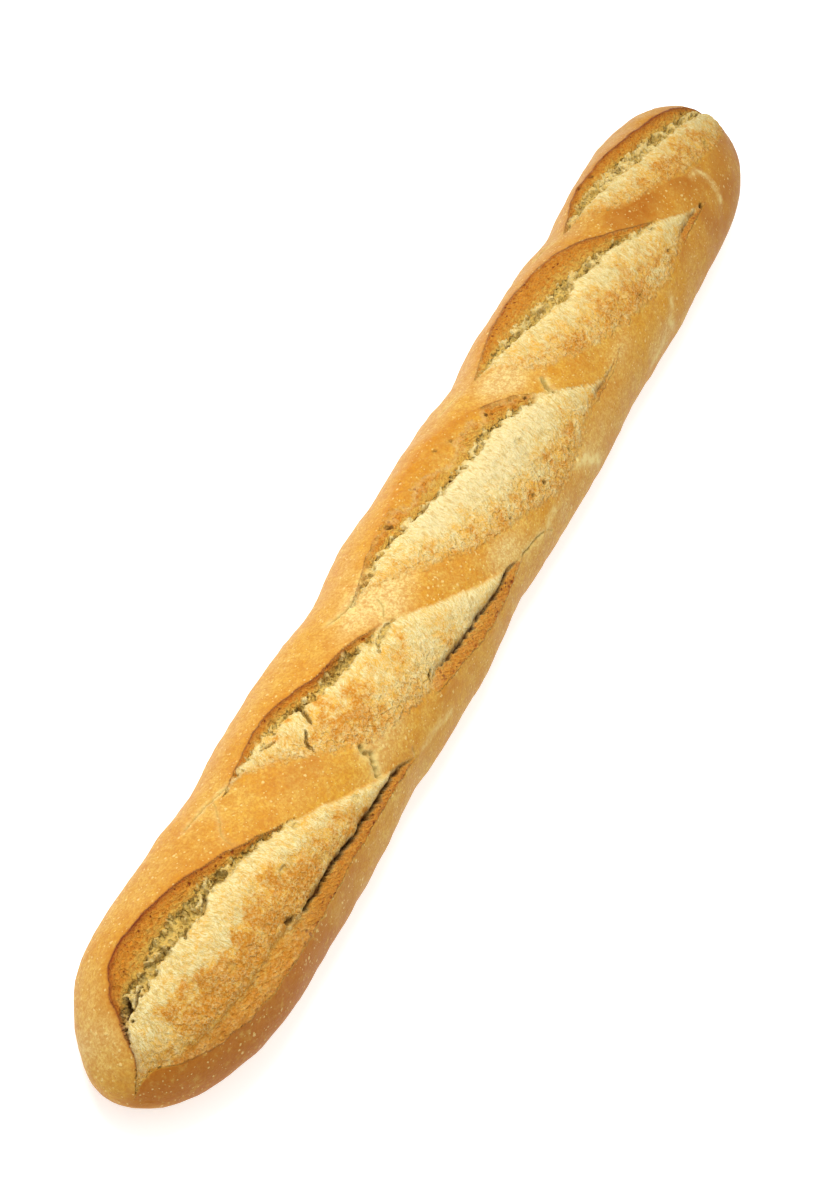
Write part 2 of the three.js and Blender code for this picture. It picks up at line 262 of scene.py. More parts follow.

# The same on the crust: (mm along, degrees round from the top), its reach both ways, amount.
# On the right flank this browning is partly painted shade, on the side turned from the key light.
toastingAndShade = [
    ((-254, -46), (18, 20), 0.9), ((-250, -75), (30, 34), 0.6), ((-205, -85), (70, 26), 0.7),
    ((-262, 60), (16, 60), -0.5), ((-190, 30), (22, 14), 0.35), ((-100, 2), (14, 22), 0.3),
    ((60, -90), (150, 22), 0.35), ((-140, -70), (60, 18), -0.3), ((-70, 26), (24, 22), -1.1),
    ((-178, 36), (16, 16), -0.4), ((55, 34), (18, 16), -0.5), ((-122, -24), (18, 14), -0.7),
    ((-18, -31), (14, 12), -0.6), ((53, 28), (14, 14), -0.7), ((103, -29), (12, 10), -0.5),
    ((132, -64), (16, 16), -0.5), ((-48, -1), (13, 14), 0.35), ((-87, 35), (12, 10), 0.3),
    ((-149, 6), (14, 14), 0.35), ((-87, -51), (14, 12), 0.3), ((15, -38), (14, 10), 0.35),
    ((80, -10), (18, 10), 0.35), ((166, -29), (16, 10), 0.3), ((150, 30), (14, 16), -0.3),
    ((168, 16), (20, 16), 0.8), ((30, -12), (20, 12), 0.2), ((225, -20), (55, 90), 0.28),
    ((225, -60), (45, 26), 0.3), ((-6, 42), (42, 11), 0.4), ((-84, 30), (14, 10), -0.5),
    ((40, -60), (90, 30), -0.4),
]

# A paler, pinkish tone on the left flank: how far round from the top it starts and how much there is, by mm
# along.
flankPaling = {
    "from": [(-180, 0.95), (-60, 0.9), (60, 0.7), (160, 0.55)],
    "amount": [(-240, 0.4), (-100, 0.6), (100, 1.0)],
    "fade": 0.5,
    "uneven": 0.25,
}

# The noises, each with its size in mm, its octaves and an offset that makes it differ from the others.
noises = {
    "swell": (34, 3, 39.0), "dimple": (8, 3, 13.0), "grain": (1.8, 3, 6.8),
    "lineAlong": (7, 3, 61.0), "lineAcross": (7, 3, 81.0),
    "broad": (8, 3, 17.0), "wobble": (3.0, 3, 11.0), "fray": (1.2, 2, 23.0), "lump": (7, 3, 31.0),
    "crackEdge": (1.4, 2, 41.0), "pitEdge": (1.1, 2, 71.0), "pitReach": (3.5, 2, 77.0),
    "toastAndShade": (16, 3, 51.0), "palingEdge": (14, 3, 91.0),
}


def smoothStep(low, high, values):
    share = np.clip((values - low) / (high - low), 0, 1)
    return share * share * (3 - 2 * share)


def alongRow(row, share):
    places, values = zip(*row)
    return np.interp(share, places, values)


def noiseAt(points, kind):
    size, octaves, offset = noises[kind]
    scaled = (np.asarray(points) / size + offset).tolist()
    decay, finer = 0.9, 2.1  # how each octave fades and how much finer it is than the last
    return np.array([noise.fractal(place, decay, finer, octaves) for place in scaled])


def cellsAt(points, size):
    # 0 in the walls between foam cells, 1 in a cell's middle
    scaled = (np.asarray(points) / size).tolist()
    gaps = np.array([noise.voronoi(place)[0][:2] for place in scaled])
    return np.clip((gaps[:, 1] - gaps[:, 0]) * 2, 0, 1)


def sectionShare(x):
    cap = np.where(x < 0, body["nearCap"], body["farCap"])
    beyond = np.clip((np.abs(x) - body["length"] / 2 + cap) / cap, 0, 1)
    return np.sqrt(1 - beyond * beyond)


def drawnIn(x, side):
    return sum(depth * np.exp(-(((x - place) / reach) ** 2)) for place, depth, reach in waists[side])


def curl(x):
    near = np.clip((body["curlReach"] - body["length"] / 2 - x) / body["curlReach"], 0, 1)
    far = np.clip((body["curlReach"] - body["length"] / 2 + x) / body["curlReach"], 0, 1)
    return body["nearCurl"] * near**2 + body["farCurl"] * far**2


def halfWidth(x, side):
    pulledIn = np.where(side > 0, drawnIn(x, "left"), drawnIn(x, "right"))
    return body["width"] / 2 + body["spare"] - pulledIn


def skin(x, share, angle):
    # the loaf before it was slashed; the angle goes round from the top, to +Y
    across, up = np.sin(angle), np.cos(angle)
    waist = halfWidth(x, across)
    # the draw-in fades to nothing over the top and underneath
    half = body["width"] / 2 * (1 - np.abs(across)) + waist * np.abs(across)
    widest = body["widestAt"] * body["height"]
    rise = np.where(up > 0, body["height"] - widest, body["belly"] * body["height"])
    height = body["tipHeight"] + share * (widest - body["tipHeight"] + rise * up)
    turn = body["bottomTurn"]
    rounded = np.maximum(height + turn, 0) ** 2 / (4 * turn)  # the flank turns softly into the flat underside
    height = np.where(height > turn, height, rounded)
    return np.stack([x, share * half * across + curl(x), height], axis=-1)


def planToSkin(outline):
    # the places on the skin that lie straight below an outline drawn from above, and their angles
    x, y = outline[:, 0], outline[:, 1]
    share = sectionShare(x)
    reach = np.maximum(share * body["width"] / 2, 1e-6)
    angle = np.arcsin(np.clip((y - curl(x)) / reach, -0.999, 0.999))
    return skin(x, share, angle), angle


def smoothLine(points, step=0.6, waver=0.45):
    # a curve through the points, in steps of about 0.6 mm, that wavers a little
    points = np.array(points, dtype=float)
    padded = np.vstack([2 * points[0] - points[1], points, 2 * points[-1] - points[-2]])
    pieces = []
    for i in range(len(points) - 1):
        before, start, end, after = padded[i : i + 4]
        count = max(2, int(np.linalg.norm(end - start) / step))
        t = np.linspace(0, 1, count, endpoint=False)[:, None]
        bend = 2 * before - 5 * start + 4 * end - after
        twist = 3 * start - before - 3 * end + after
        pieces.append(start + 0.5 * ((end - before) * t + bend * t**2 + twist * t**3))
    pieces.append(points[-1:])
    line = np.vstack(pieces)
    flat = np.column_stack([line, np.zeros(len(line))])
    inner = np.sin(np.linspace(0, math.pi, len(line))) ** 0.5  # the ends stay where they are
    for axis, kind in enumerate(("lineAlong", "lineAcross")):
        line[:, axis] += waver * inner * noiseAt(flat, kind)
    return line


def nearestOnLine(points, line, chunk=8000):
    # for each point: how far the line is, the nearest place on it, and that place's share of the way along
    best = np.full(len(points), np.inf)
    foot = np.zeros((len(points), 3))
    share = np.zeros(len(points))
    starts, ends = line[:-1], line[1:]
    for first in range(0, len(points), chunk):
        some = points[first : first + chunk]
        gaps = ((some[:, None, :] - line[None, :, :]) ** 2).sum(axis=2)
        middle = gaps.argmin(axis=1)
        for step in (-1, 0):
            i = np.clip(middle + step, 0, len(starts) - 1)
            run = ends[i] - starts[i]
            t = ((some - starts[i]) * run).sum(axis=1) / (run * run).sum(axis=1)
            t = np.clip(t, 0, 1)
            place = starts[i] + run * t[:, None]
            gap = np.linalg.norm(some - place, axis=1)
            rows = first + np.arange(len(some))
            closer = gap < best[rows]
            best[rows[closer]] = gap[closer]
            foot[rows[closer]] = place[closer]
            share[rows[closer]] = ((i + t) / len(starts))[closer]
    return best, foot, share


def insideOutline(x, y, outline):
    # a point is inside where a line from it crosses the outline an odd number of times
    inside = np.zeros(len(x), dtype=bool)
    nextPoints = np.roll(outline, -1, axis=0)
    for (x0, y0), (x1, y1) in zip(outline, nextPoints):
        if y0 == y1:
            continue
        crosses = (y0 > y) != (y1 > y)
        inside ^= crosses & (x < (x1 - x0) * (y - y0) / (y1 - y0) + x0)
    return inside


def chordPlace(slash, sheet):
    # mm along the slash from its -X tip, and mm across it to the right
    offset = sheet * (1, body["width"] / 2) - slash["chordStart"]
    along = offset @ slash["chord"]
    across = offset @ np.array([slash["chord"][1], -slash["chord"][0]])
    return along, across


lineWaver = {"left": 0.65, "right": 0.65, "crevice": 0.9, "crumbFrom": 0.9, "tear": 0.9}
for slash in slashes:
    sheets = {}
    for name, waver in lineWaver.items():
        line = smoothLine(slash[name], waver=waver)
        slash[name + "Skin"], angle = planToSkin(line)
        sheets[name] = np.stack([line[:, 0], angle], axis=1)
    slash["sheet"] = np.vstack([sheets["left"], sheets["right"][::-1]])
    slash["chordStart"] = sheets["left"][0] * (1, body["width"] / 2)
    chord = sheets["left"][-1] * (1, body["width"] / 2) - slash["chordStart"]
    slash["chordLength"] = np.linalg.norm(chord)
    slash["chord"] = chord / slash["chordLength"]
    for name, sheet in sheets.items():
        slash[name + "Local"] = chordPlace(slash, sheet)
    slash["from"], slash["to"] = slash["left"][0][0], slash["left"][-1][0]
crackSkins = [planToSkin(smoothLine(line))[0] for line, width, depth, pale in cracks]
hollowSkins = [planToSkin(smoothLine(line, waver=0.7))[0] for line, radius, depth, brownAndShade in hollows]


def signedGap(slash, field, name, points):
    # the distance to one of the slash's inner lines, above 0 to its right
    gap, _, _ = nearestOnLine(points, slash[name + "Skin"])
    line = np.interp(field["along"], *slash[name + "Local"])
    return np.where(field["acrossAt"] > line, gap, -gap)


def slashField(slash, x, angle, points, margin=24, lowest=1.75):
    # where each point near a slash lies in it; no slash reaches lower than this angle from the top
    rows = np.where((x > slash["from"] - margin) & (x < slash["to"] + margin) & (np.abs(angle) < lowest))[0]
    here = points[rows]
    field = {"rows": rows, "inside": insideOutline(x[rows], angle[rows], slash["sheet"])}
    field["left"], field["leftFoot"], _ = nearestOnLine(here, slash["leftSkin"])
    field["right"], field["rightFoot"], _ = nearestOnLine(here, slash["rightSkin"])
    field["along"], field["acrossAt"] = chordPlace(slash, np.stack([x[rows], angle[rows]], axis=1))
    field["share"] = np.clip(field["along"] / slash["chordLength"], 0, 1)
    leftEdge = np.interp(field["along"], *slash["leftLocal"])
    rightEdge = np.interp(field["along"], *slash["rightLocal"])
    crumbEdge = np.interp(field["along"], *slash["crumbFromLocal"])
    crumbEdge = np.where(field["along"] > slash["crumbFromLocal"][0][-1], leftEdge, crumbEdge)
    field["fromLeft"] = field["acrossAt"] - leftEdge
    field["middle"] = np.clip((field["acrossAt"] - crumbEdge) / np.maximum(rightEdge - crumbEdge, 0.5), 0, 1)
    field["pastCrevice"] = signedGap(slash, field, "crevice", here)
    field["pastCrumb"] = signedGap(slash, field, "crumbFrom", here)
    field["beforeTear"] = -signedGap(slash, field, "tear", here)
    return field


def sheetPlace(directions):
    # from a direction on the unit sphere to the loaf's sheet: mm along, section share, angle from the top
    sphere = directions / np.linalg.norm(directions, axis=1)[:, None]
    angle = np.arctan2(sphere[:, 1], sphere[:, 2])
    run = np.arccos(np.clip(-sphere[:, 0], -1, 1)) / math.pi
    nearArc, farArc = body["nearCap"] * body["nearArc"], body["farCap"] * body["farArc"]
    barrel = body["length"] - body["nearCap"] - body["farCap"]
    along = run * (nearArc + barrel + farArc)
    nearTurn = np.clip(1 - along / nearArc, 0, 1) * math.pi / 2
    farTurn = np.clip((along - nearArc - barrel) / farArc, 0, 1) * math.pi / 2
    onBarrel = np.clip(along - nearArc, 0, barrel) - body["length"] / 2 + body["nearCap"]
    x = onBarrel - body["nearCap"] * np.sin(nearTurn) + body["farCap"] * np.sin(farTurn)
    share = np.cos(nearTurn) * np.cos(farTurn)
    return x, share, angle


def readVectors(items, name):
    flat = np.empty(len(items) * 3)
    items.foreach_get(name, flat)
    return flat.reshape(-1, 3)


def rowsBeside(x, line, reach):
    # the points about as far along the loaf as a line runs, and a reach further both ways
    return np.where(np.abs(x - line[:, 0].mean()) < np.ptp(line[:, 0]) / 2 + reach)[0]


def subdivideWhere(loaf, wanted):
    bpy.ops.object.mode_set(mode="OBJECT")
    mesh = loaf.data
    mesh.polygons.foreach_set("select", wanted)
    mesh.edges.foreach_set("select", np.zeros(len(mesh.edges), dtype=bool))
    mesh.vertices.foreach_set("select", np.zeros(len(mesh.vertices), dtype=bool))
    bpy.ops.object.mode_set(mode="EDIT")
    bpy.ops.mesh.select_mode(type="FACE")
    bpy.ops.mesh.subdivide(number_cuts=1, quadcorner="INNERVERT")
    bpy.ops.object.mode_set(mode="OBJECT")


# How near a lip, a crack or a hollow the mesh is made finer, in mm, for each round of subdividing; and how
# near the edges of a torn face, where 90 takes in all of it.
fineness = [
    {"lip": 6, "crack": 4, "hollow": 4, "torn": 90},
    {"lip": 1.3, "crack": 1.0, "hollow": 1.2, "torn": 90},
    {"lip": 0.6, "crack": 0.3, "hollow": 0.5, "torn": 0.7},
]


def startLoaf():
    bpy.ops.object.select_all(action="DESELECT")
    bpy.ops.mesh.primitive_uv_sphere_add(
        segments=body["segments"], ring_count=body["rings"], radius=1, rotation=(0, math.pi / 2, 0))
    loaf = bpy.context.object
    loaf.name = "loaf"
    bpy.ops.object.transform_apply(location=False, rotation=True, scale=False)
    for near in fineness:
        x, share, angle = sheetPlace(readVectors(loaf.data.polygons, "center"))
        points = skin(x, share, angle)
        wanted = np.zeros(len(points), dtype=bool)
        for skins, marks, kind in ((crackSkins, cracks, "crack"), (hollowSkins, hollows, "hollow")):
            for line, (_, size, _, _) in zip(skins, marks):
                rows = rowsBeside(x, line, size + 6)
                wanted[rows] |= nearestOnLine(points[rows], line)[0] < size + near[kind]
        for slash in slashes:
            field = slashField(slash, x, angle, points)
            rows, inside = field["rows"], field["inside"]
            wanted[rows] |= np.minimum(field["left"], field["right"]) < near["lip"]
            hasTorn = field["along"] < slash["creviceLocal"][0][-1]
            inTrench = (field["pastCrevice"] > -near["torn"]) & (field["pastCrumb"] < near["torn"]) & hasTorn
            hasTear = field["along"] > slash["tearLocal"][0][0]
            wanted[rows] |= inside & (inTrench | (hasTear & (np.abs(field["beforeTear"]) < near["torn"])))
        subdivideWhere(loaf, wanted)
    return loaf


def addAttribute(mesh, name, values):
    kind = "FLOAT" if values.ndim == 1 else "FLOAT_VECTOR"
    layer = mesh.attributes.new(name, kind, "POINT")
    layer.data.foreach_set("value" if values.ndim == 1 else "vector", values.astype(np.float32).ravel())


def unit(vectors):
    return vectors / np.maximum(np.linalg.norm(vectors, axis=1), 1e-6)[:, None]


# Unevenness of the whole loaf: the height in mm of each of its noises.
bulk = {"swell": 0.9, "dimple": 0.25, "grain": 0.05}

# The slashes' crust, torn faces and crumb, in mm.
flesh = {
    "earReach": 8.5, "ridgeReach": 5,  # how far out from the lips the crust is raised
    "tornDrop": 1.3, "tornCell": 2.3, "tornFoam": 0.7,  # a torn face: how far it falls, and its foam
    "raggedness": 1.3, "overhang": 0.9, "overhangReach": 0.9,  # its lower edge
    "crumbCell": 3.4, "crumbFoam": 0.4, "lump": 0.5,
    "trenchFoam": 1.0, "slitReach": 2.0,
    "pitCell": 5.2, "pitDepth": 1.8, "pitBand": 3.5,
    "snap": 0.22,  # a point nearer a lip than this moves onto it
}


def raiseTo(mask, rows, values):
    mask[rows] = np.maximum(mask[rows], values)


def sculptSlash(slash, field, points, masks, lift, push):
    rows, inside, share = field["rows"], field["inside"], field["share"]
    left, right, middle = field["left"], field["right"], field["middle"]
    here = points[rows]
    broad, wobble, fray = (noiseAt(here, kind) for kind in ("broad", "wobble", "fray"))
    cells, foam, pits = np.zeros((3, len(rows)))
    cells[inside] = cellsAt(here[inside], flesh["tornCell"])
    foam[inside] = cellsAt(here[inside] + 40, flesh["crumbCell"])
    pits[inside] = smoothStep(0.5, 0.95, cellsAt(here[inside] + 80, flesh["pitCell"]))
    ear, ridge = alongRow(slash["ear"], share), alongRow(slash["ridge"], share)
    tips = smoothStep(0, 0.04, share) * smoothStep(1, 0.96, share)

    # outside, the crust rises to the torn lip on the left and to a low ridge on the right
    onLeft, onRight = ~inside & (left <= right), ~inside & (right < left)
    lift[rows] += np.where(onLeft, ear * np.exp(-((left / flesh["earReach"]) ** 1.5)), 0)
    lift[rows] += np.where(onRight, ridge * np.exp(-((right / flesh["ridgeReach"]) ** 1.4)), 0)

    # how far each point is past the torn face, and past the trench that runs beside it
    ragged = flesh["raggedness"] * (broad + 1.1 * wobble + 0.8 * fray)
    lastTorn = slash["creviceLocal"][0][-1]
    hasTorn = smoothStep(lastTorn + 1, lastTorn - 6, field["along"])
    fromEdge = field["pastCrevice"] + ragged * hasTorn
    pastTorn = 1 - (1 - smoothStep(-0.25, 0.3, fromEdge)) * hasTorn
    fromCrumb = field["pastCrumb"] + 1.2 * wobble + 0.8 * fray
    pastTrench = 1 - (1 - smoothStep(-0.9, 0.9, fromCrumb)) * hasTorn
    firstTear = slash["tearLocal"][0][0]
    hasTear = smoothStep(firstTear, firstTear + 8, field["along"])
    narrow = np.clip((left + right) / 6, 0.2, 1)  # less depth where the slash runs out
    gapRight = alongRow(slash["gapRight"], share) * narrow
    softTear = 0.3 + 1.8 * smoothStep(1.5, 0.2, gapRight)
    beforeTear = field["beforeTear"] + 0.5 * ragged * hasTear
    isTear = smoothStep(softTear, -softTear, beforeTear) * hasTear

    # the crumb: a dome, uneven, foamy, highest near the trench
    fit = np.clip((left + right) / 12, 0, 1)
    crumb = slash["dome"] * alongRow(domeRow, middle) + flesh["lump"] * noiseAt(here, "lump")
    crumb += flesh["crumbFoam"] * (0.5 - foam) * (0.5 + middle) + 0.08 * fray
    crumb *= fit
    gap = alongRow(slash["gap"], share) * narrow
    flaps = smoothStep(-0.08, 0.42, 0.8 * broad + 1.1 * wobble)  # where crumb bridges the trench
    trench = -gap * (1 - 0.75 * flaps) + flesh["trenchFoam"] * (0.5 - cells) * fit + 0.3 * wobble
    floor = pastTrench * crumb + (1 - pastTrench) * trench
    inGapRight = np.exp(-((np.maximum(beforeTear, 0) / flesh["slitReach"]) ** 1.7)) * hasTear
    floor -= gapRight * inGapRight * (1 + 0.35 * wobble)

    # the torn faces, spongy, from the lips down to their ragged edges
    tornShare = np.clip(left / np.maximum(left + np.maximum(-field["pastCrevice"], 0), 0.3), 0, 1)
    sponge = flesh["tornFoam"] * (0.5 - cells) * smoothStep(0.1, 0.45, tornShare) * smoothStep(0.4, 2, left)
    tornTop = ear * (1 - tornShare) ** 1.3 - flesh["tornDrop"] * tornShare**1.5 + sponge
    tornTop += smoothStep(0.3, 1.6, left) * (0.55 * wobble + 0.35 * fray)
    tearTop = ridge - 0.22 * right + smoothStep(0.3, 1.5, right) * (0.3 * wobble + 0.25 * (0.5 - cells))
    surface = isTear * tearTop + (1 - isTear) * floor
    surface = pastTorn * surface + (1 - pastTorn) * tornTop
    # separate pits along the ragged edge, on both sides of it
    pitHere = np.exp(-(((field["pastCrevice"] - 0.5) / flesh["pitBand"]) ** 2))
    pits *= slash["pitted"] * hasTorn * (1 - isTear) * pitHere * fit
    surface -= flesh["pitDepth"] * pits * smoothStep(0.5, 3, left)
    softness = np.where(left < right, 0.4 + 0.5 * slash["softLeft"], 0.4 + 0.5 * slash["softRight"])
    edge = smoothStep(0, softness, np.minimum(left, right))
    surface = edge * surface + (1 - edge) * np.where(left < right, ear, ridge)
    lift[rows] = np.where(inside, surface, lift[rows])

    # the ragged edges overhang: the trench's floor goes in under them
    openness = np.clip(gap / 2.5, 0, 1) * (1 - 0.7 * flaps) * hasTorn * (1 - isTear)
    opennessRight = np.clip(gapRight / 3, 0, 1) * hasTear * (1 - isTear)
    for past, foot, wide in ((fromEdge, "leftFoot", pastTorn * openness),
                             (beforeTear, "rightFoot", opennessRight)):
        under = flesh["overhang"] * wide * np.exp(-((np.maximum(past, 0) / flesh["overhangReach"]) ** 2))
        push[rows] -= np.where(inside, under, 0)[:, None] * unit(here - field[foot])

    def spread(name, values, everywhere=False):
        raiseTo(masks[name], rows, values if everywhere else np.where(inside, values, 0))

    # the crust reaches in over a soft lip, in a stippled way, and the crumb begins beyond it
    stipple = 1.4 * wobble + 1.6 * fray
    reachLeft = left + stipple * np.clip(slash["softLeft"] / 3, 0, 1)
    reachRight = right + stipple * np.clip(slash["softRight"] / 2.5, 0.2, 1)
    softEnd = np.where(field["along"] > lastTorn - 4, 1.6, slash["softLeft"])
    own = smoothStep(0, np.maximum(softEnd, 0.25), reachLeft)
    own *= smoothStep(0, np.maximum(slash["softRight"] * (1 - 0.75 * isTear), 0.25), reachRight)
    # where the torn face is wide, crust covers its far side
    covered = -field["pastCrevice"] - slash["tornReach"] + 5 * broad + 2.5 * wobble + 1.5 * fray
    bare = np.where(field["pastCrevice"] < 0, 1 - smoothStep(-2.5, 2.5, covered), 1)
    spread("crumb", own * bare)
    spread("torn", bare * np.maximum(1 - pastTorn, isTear * (0.5 + 0.4 * np.clip(gapRight / 2, 0, 1))))
    spread("tornDepth", np.where(isTear > 0.5, np.clip(right / 10, 0, 1), tornShare))
    # painted shade down in the trench beside the torn face, less where crumb bridges it, and in the pits
    shade = np.clip(1.1 - 0.9 * flaps + 0.5 * wobble, 0, 1) * np.clip(gap / 1.6, 0, 1)
    spread("hollow", np.maximum(pastTorn * (1 - pastTrench) * (1 - isTear) * shade, 0.9 * pits))
    # painted dark shade deep in the slit beside the tear and in the deepest pits
    slitShade = (1 - isTear) * inGapRight * np.clip(gapRight / 3, 0, 1) * np.clip(0.9 + wobble, 0, 1)
    spread("dark", np.maximum(slitShade, 0.55 * smoothStep(0.6, 1, pits)))
    spread("across", middle)
    spread("rim", np.exp(-((right / 3.5) ** 1.5)) * np.clip(1.2 * tips, 0, 1))
    # the lip's own dark red-brown edge, with painted shade spreading from it down the torn face
    lipEdge = alongRow(slash["edge"], share)
    lipAndShadeFade = np.where(inside, np.exp(-((left / 1.25) ** 1.5)), np.exp(-((left / 0.45) ** 2)))
    spread("lip", lipAndShadeFade * lipEdge * tips, everywhere=True)
    # browner crust beside the right lip, partly painted shade where the crust falls away from the crest
    edgeBrownAndShade = alongRow(slash["brownAndShadeEdge"], share) * np.exp(-((right / 15) ** 2)) * smoothStep(0, 0.8, right)
    masks["toastAndShade"][rows] += np.where(onRight, edgeBrownAndShade, 0)
    nearLip = np.exp(-((left / 4.5) ** 1.3)) * np.clip(ear / 1.4, 0, 1) * (onLeft | inside)
    spread("lipNear", nearLip, everywhere=True)
    grainPlace = np.stack([field["along"], field["fromLeft"], np.full(len(rows), slash["from"])], axis=1)
    masks["grain"][rows] = np.where(inside[:, None], grainPlace, masks["grain"][rows])


def pitHollows(points, masks, lift):
    for line, (_, radius, depth, brownAndShade) in zip(hollowSkins, hollows):
        rows = rowsBeside(points[:, 0], line, radius + 4)
        here = points[rows]
        gap, _, along = nearestOnLine(here, line)
        near = gap < radius + 4
        rows, here, gap, along = rows[near], here[near], gap[near], along[near]
        drawnOut = min(np.ptp(line[:, 0]) / 6, 1)  # a long hollow narrows to its ends
        reach = radius * (1 - drawnOut * 0.6 * (2 * along - 1) ** 2) * (1 + 0.5 * noiseAt(here, "pitReach"))
        reach = np.maximum(reach, 0.25)
        ragged = np.maximum(gap + 0.45 * radius * noiseAt(here, "pitEdge"), 0)
        pit = np.exp(-((ragged / reach) ** 3))
        rim = np.exp(-(((ragged - 1.5 * reach) / (0.5 * reach)) ** 2))
        lift[rows] += -depth * pit + 0.12 * min(depth, 1.5) * rim
        # painted shade in the hole, as dark as the hollow's last column asks
        inner = np.clip(pit * min(depth / 1.2, 1), 0, 1)
        raiseTo(masks["hollow"], rows, inner * 0.9)
        raiseTo(masks["dark"], rows, inner * brownAndShade)


def crackCrust(points, masks, lift):
    for line, (_, width, depth, pale) in zip(crackSkins, cracks):
        rows = rowsBeside(points[:, 0], line, width + 4)
        here = points[rows]
        gap, _, along = nearestOnLine(here, line)
        taper = smoothStep(0, 0.12, along) * smoothStep(1, 0.85, along)
        ragged = np.maximum(gap + 0.9 * width * noiseAt(here, "crackEdge"), 0)
        onCrust = 1 - masks["crumb"][rows]
        groove = np.exp(-((ragged / width) ** 2)) * taper * onCrust * min(depth, 1)
        lift[rows] -= depth * groove
        # the groove is painted with shade in the material
        raiseTo(masks["crack"], rows, groove)
        edges = pale * np.exp(-((ragged / (1.5 * width + 0.9)) ** 2)) * (0.3 + 0.7 * taper)
        raiseTo(masks["pale"], rows, edges * (0.4 + 0.6 * onCrust))


def sculptLoaf(loaf):
    mesh = loaf.data
    x, share, angle = sheetPlace(readVectors(mesh.vertices, "co"))
    points = skin(x, share, angle)
    count = len(points)
    fields = []
    for slash in slashes:
        field = slashField(slash, x, angle, points)
        rows = field["rows"]
        for gap, foot in (("left", "leftFoot"), ("right", "rightFoot")):
            snap = field[gap] < flesh["snap"]  # so that each lip is a clean line
            points[rows[snap]] = field[foot][snap]
            field[gap][snap] = 0
        fields.append(field)
    mesh.vertices.foreach_set("co", (points * mm).ravel())
    mesh.update()
    normals = readVectors(mesh.vertices, "normal")
    points = readVectors(mesh.vertices, "co") / mm

    masks = {name: np.zeros(count) for name in
             ("crumb", "torn", "tornDepth", "hollow", "dark", "lip", "lipNear", "rim", "across",
              "crack", "pale", "toastAndShade", "roast", "paled")}
    masks["grain"] = np.zeros((count, 3))
    base = sum(height * noiseAt(points, kind) for kind, height in bulk.items())
    base *= smoothStep(1.5, 12, points[:, 2])  # the underside stays flat
    lift, push = np.zeros(count), np.zeros((count, 3))
    for slash, field in zip(slashes, fields):
        sculptSlash(slash, field, points, masks, lift, push)
    pitHollows(points, masks, lift)
    crackCrust(points, masks, lift)
    # oven browning on the crust, and on the right flank partly painted shade
    for (along, around), (reachAlong, reachAround), amount in toastingAndShade:
        farness = ((x - along) / reachAlong) ** 2 + ((np.degrees(angle) - around) / reachAround) ** 2
        masks["toastAndShade"] += amount * np.exp(-farness)
    masks["toastAndShade"] *= 1 + 0.6 * noiseAt(points, "toastAndShade")
    for place, reach, amount in roasts:
        masks["roast"] += amount * np.exp(-((points[:, :2] - place) ** 2).sum(axis=1) / reach**2)
    masks["roast"] = np.clip(masks["roast"], -1, 0.85) * masks["crumb"]
    palingFrom = alongRow(flankPaling["from"], x)
    palingPlace = angle + flankPaling["uneven"] * noiseAt(points, "palingEdge")
    masks["paled"] = smoothStep(palingFrom, palingFrom + flankPaling["fade"], palingPlace) * alongRow(flankPaling["amount"], x)
    places = points + normals * (base + lift)[:, None] + push
    places[:, 2] = np.maximum(places[:, 2], 0)
    mesh.vertices.foreach_set("co", (places * mm).ravel())
    mesh.update()
    for name, values in masks.items():
        addAttribute(mesh, name, values)
    addAttribute(mesh, "round", angle)
    unwrap(mesh, x, angle, share)


def unwrap(mesh, x, angle, share):
    # the texture sheet: the loaf's two halves one above the other, with more room for the top
    loops = np.empty(len(mesh.loops), dtype=int)
    mesh.loops.foreach_get("vertex_index", loops)
    sizes = np.empty(len(mesh.polygons), dtype=int)
    mesh.polygons.foreach_get("loop_total", sizes)
    face = np.repeat(np.arange(len(sizes)), sizes)
    turn, atPole = angle[loops].copy(), share[loops] < 1e-4
    # a face astride the seam underneath takes all its corners from one side of it
    side = np.bincount(face, weights=np.where(atPole, 0, np.sign(turn))) >= 0
    low, high = np.full(len(sizes), np.inf), np.full(len(sizes), -np.inf)
    np.minimum.at(low, face[~atPole], turn[~atPole])
    np.maximum.at(high, face[~atPole], turn[~atPole])
    astride = (high - low > math.pi)[face]
    turn = np.where(astride & side[face] & (turn < 0), turn + 2 * math.pi, turn)
    turn = np.where(astride & ~side[face] & (turn > 0), turn - 2 * math.pi, turn)
    weight = (~atPole).astype(float)
    mean = np.bincount(face, weights=turn * weight) / np.maximum(np.bincount(face, weights=weight), 1)
    turn = np.where(atPole, mean[face], turn)
    centre = np.bincount(face, weights=x[loops]) / sizes
    far = (centre > 0)[face]
    along = np.where(far, x[loops], x[loops] + body["length"] / 2) / (body["length"] / 2)
    # the underside, past 1.9 radians from the top, gets 0.13 of the sheet's height on each side
    turns = [-1.15 * math.pi, -math.pi, -1.9, 1.9, math.pi, 1.15 * math.pi]
    v = np.interp(turn, turns, [-0.02, 0, 0.13, 0.87, 1, 1.02])
    places = np.stack([0.02 + 0.96 * along, 0.02 + 0.45 * v + 0.5 * far], axis=1)
    layer = mesh.uv_layers.new(name="OFBake")
    layer.data.foreach_set("uv", places.astype(np.float32).ravel())
    mesh.uv_layers.active = layer


studio = {
    "tilt": 55,  # degrees the camera looks down, from beyond the near end
    "roll": 31.15,  # the camera is turned, so the loaf lies slantwise
    "distance": 0.8594,
    "target": (-0.04515, 0.00378, 0.022),
    "lens": 66.88,
    "sensor": 36,
    "world": 0.92,  # the light from all round
    "key": 3.9, "keyPlace": (-0.08, 0.22, 0.55), "keyAim": (-0.06, 0, 0.03), "keySize": 0.36,
    "brightness": 1.65,  # how much lighter a paint looks than it is
    "floorSize": 8,
    "floorGrey": 0.97,
    "glow": 0.34,  # keeps the floor white beside the loaf
}


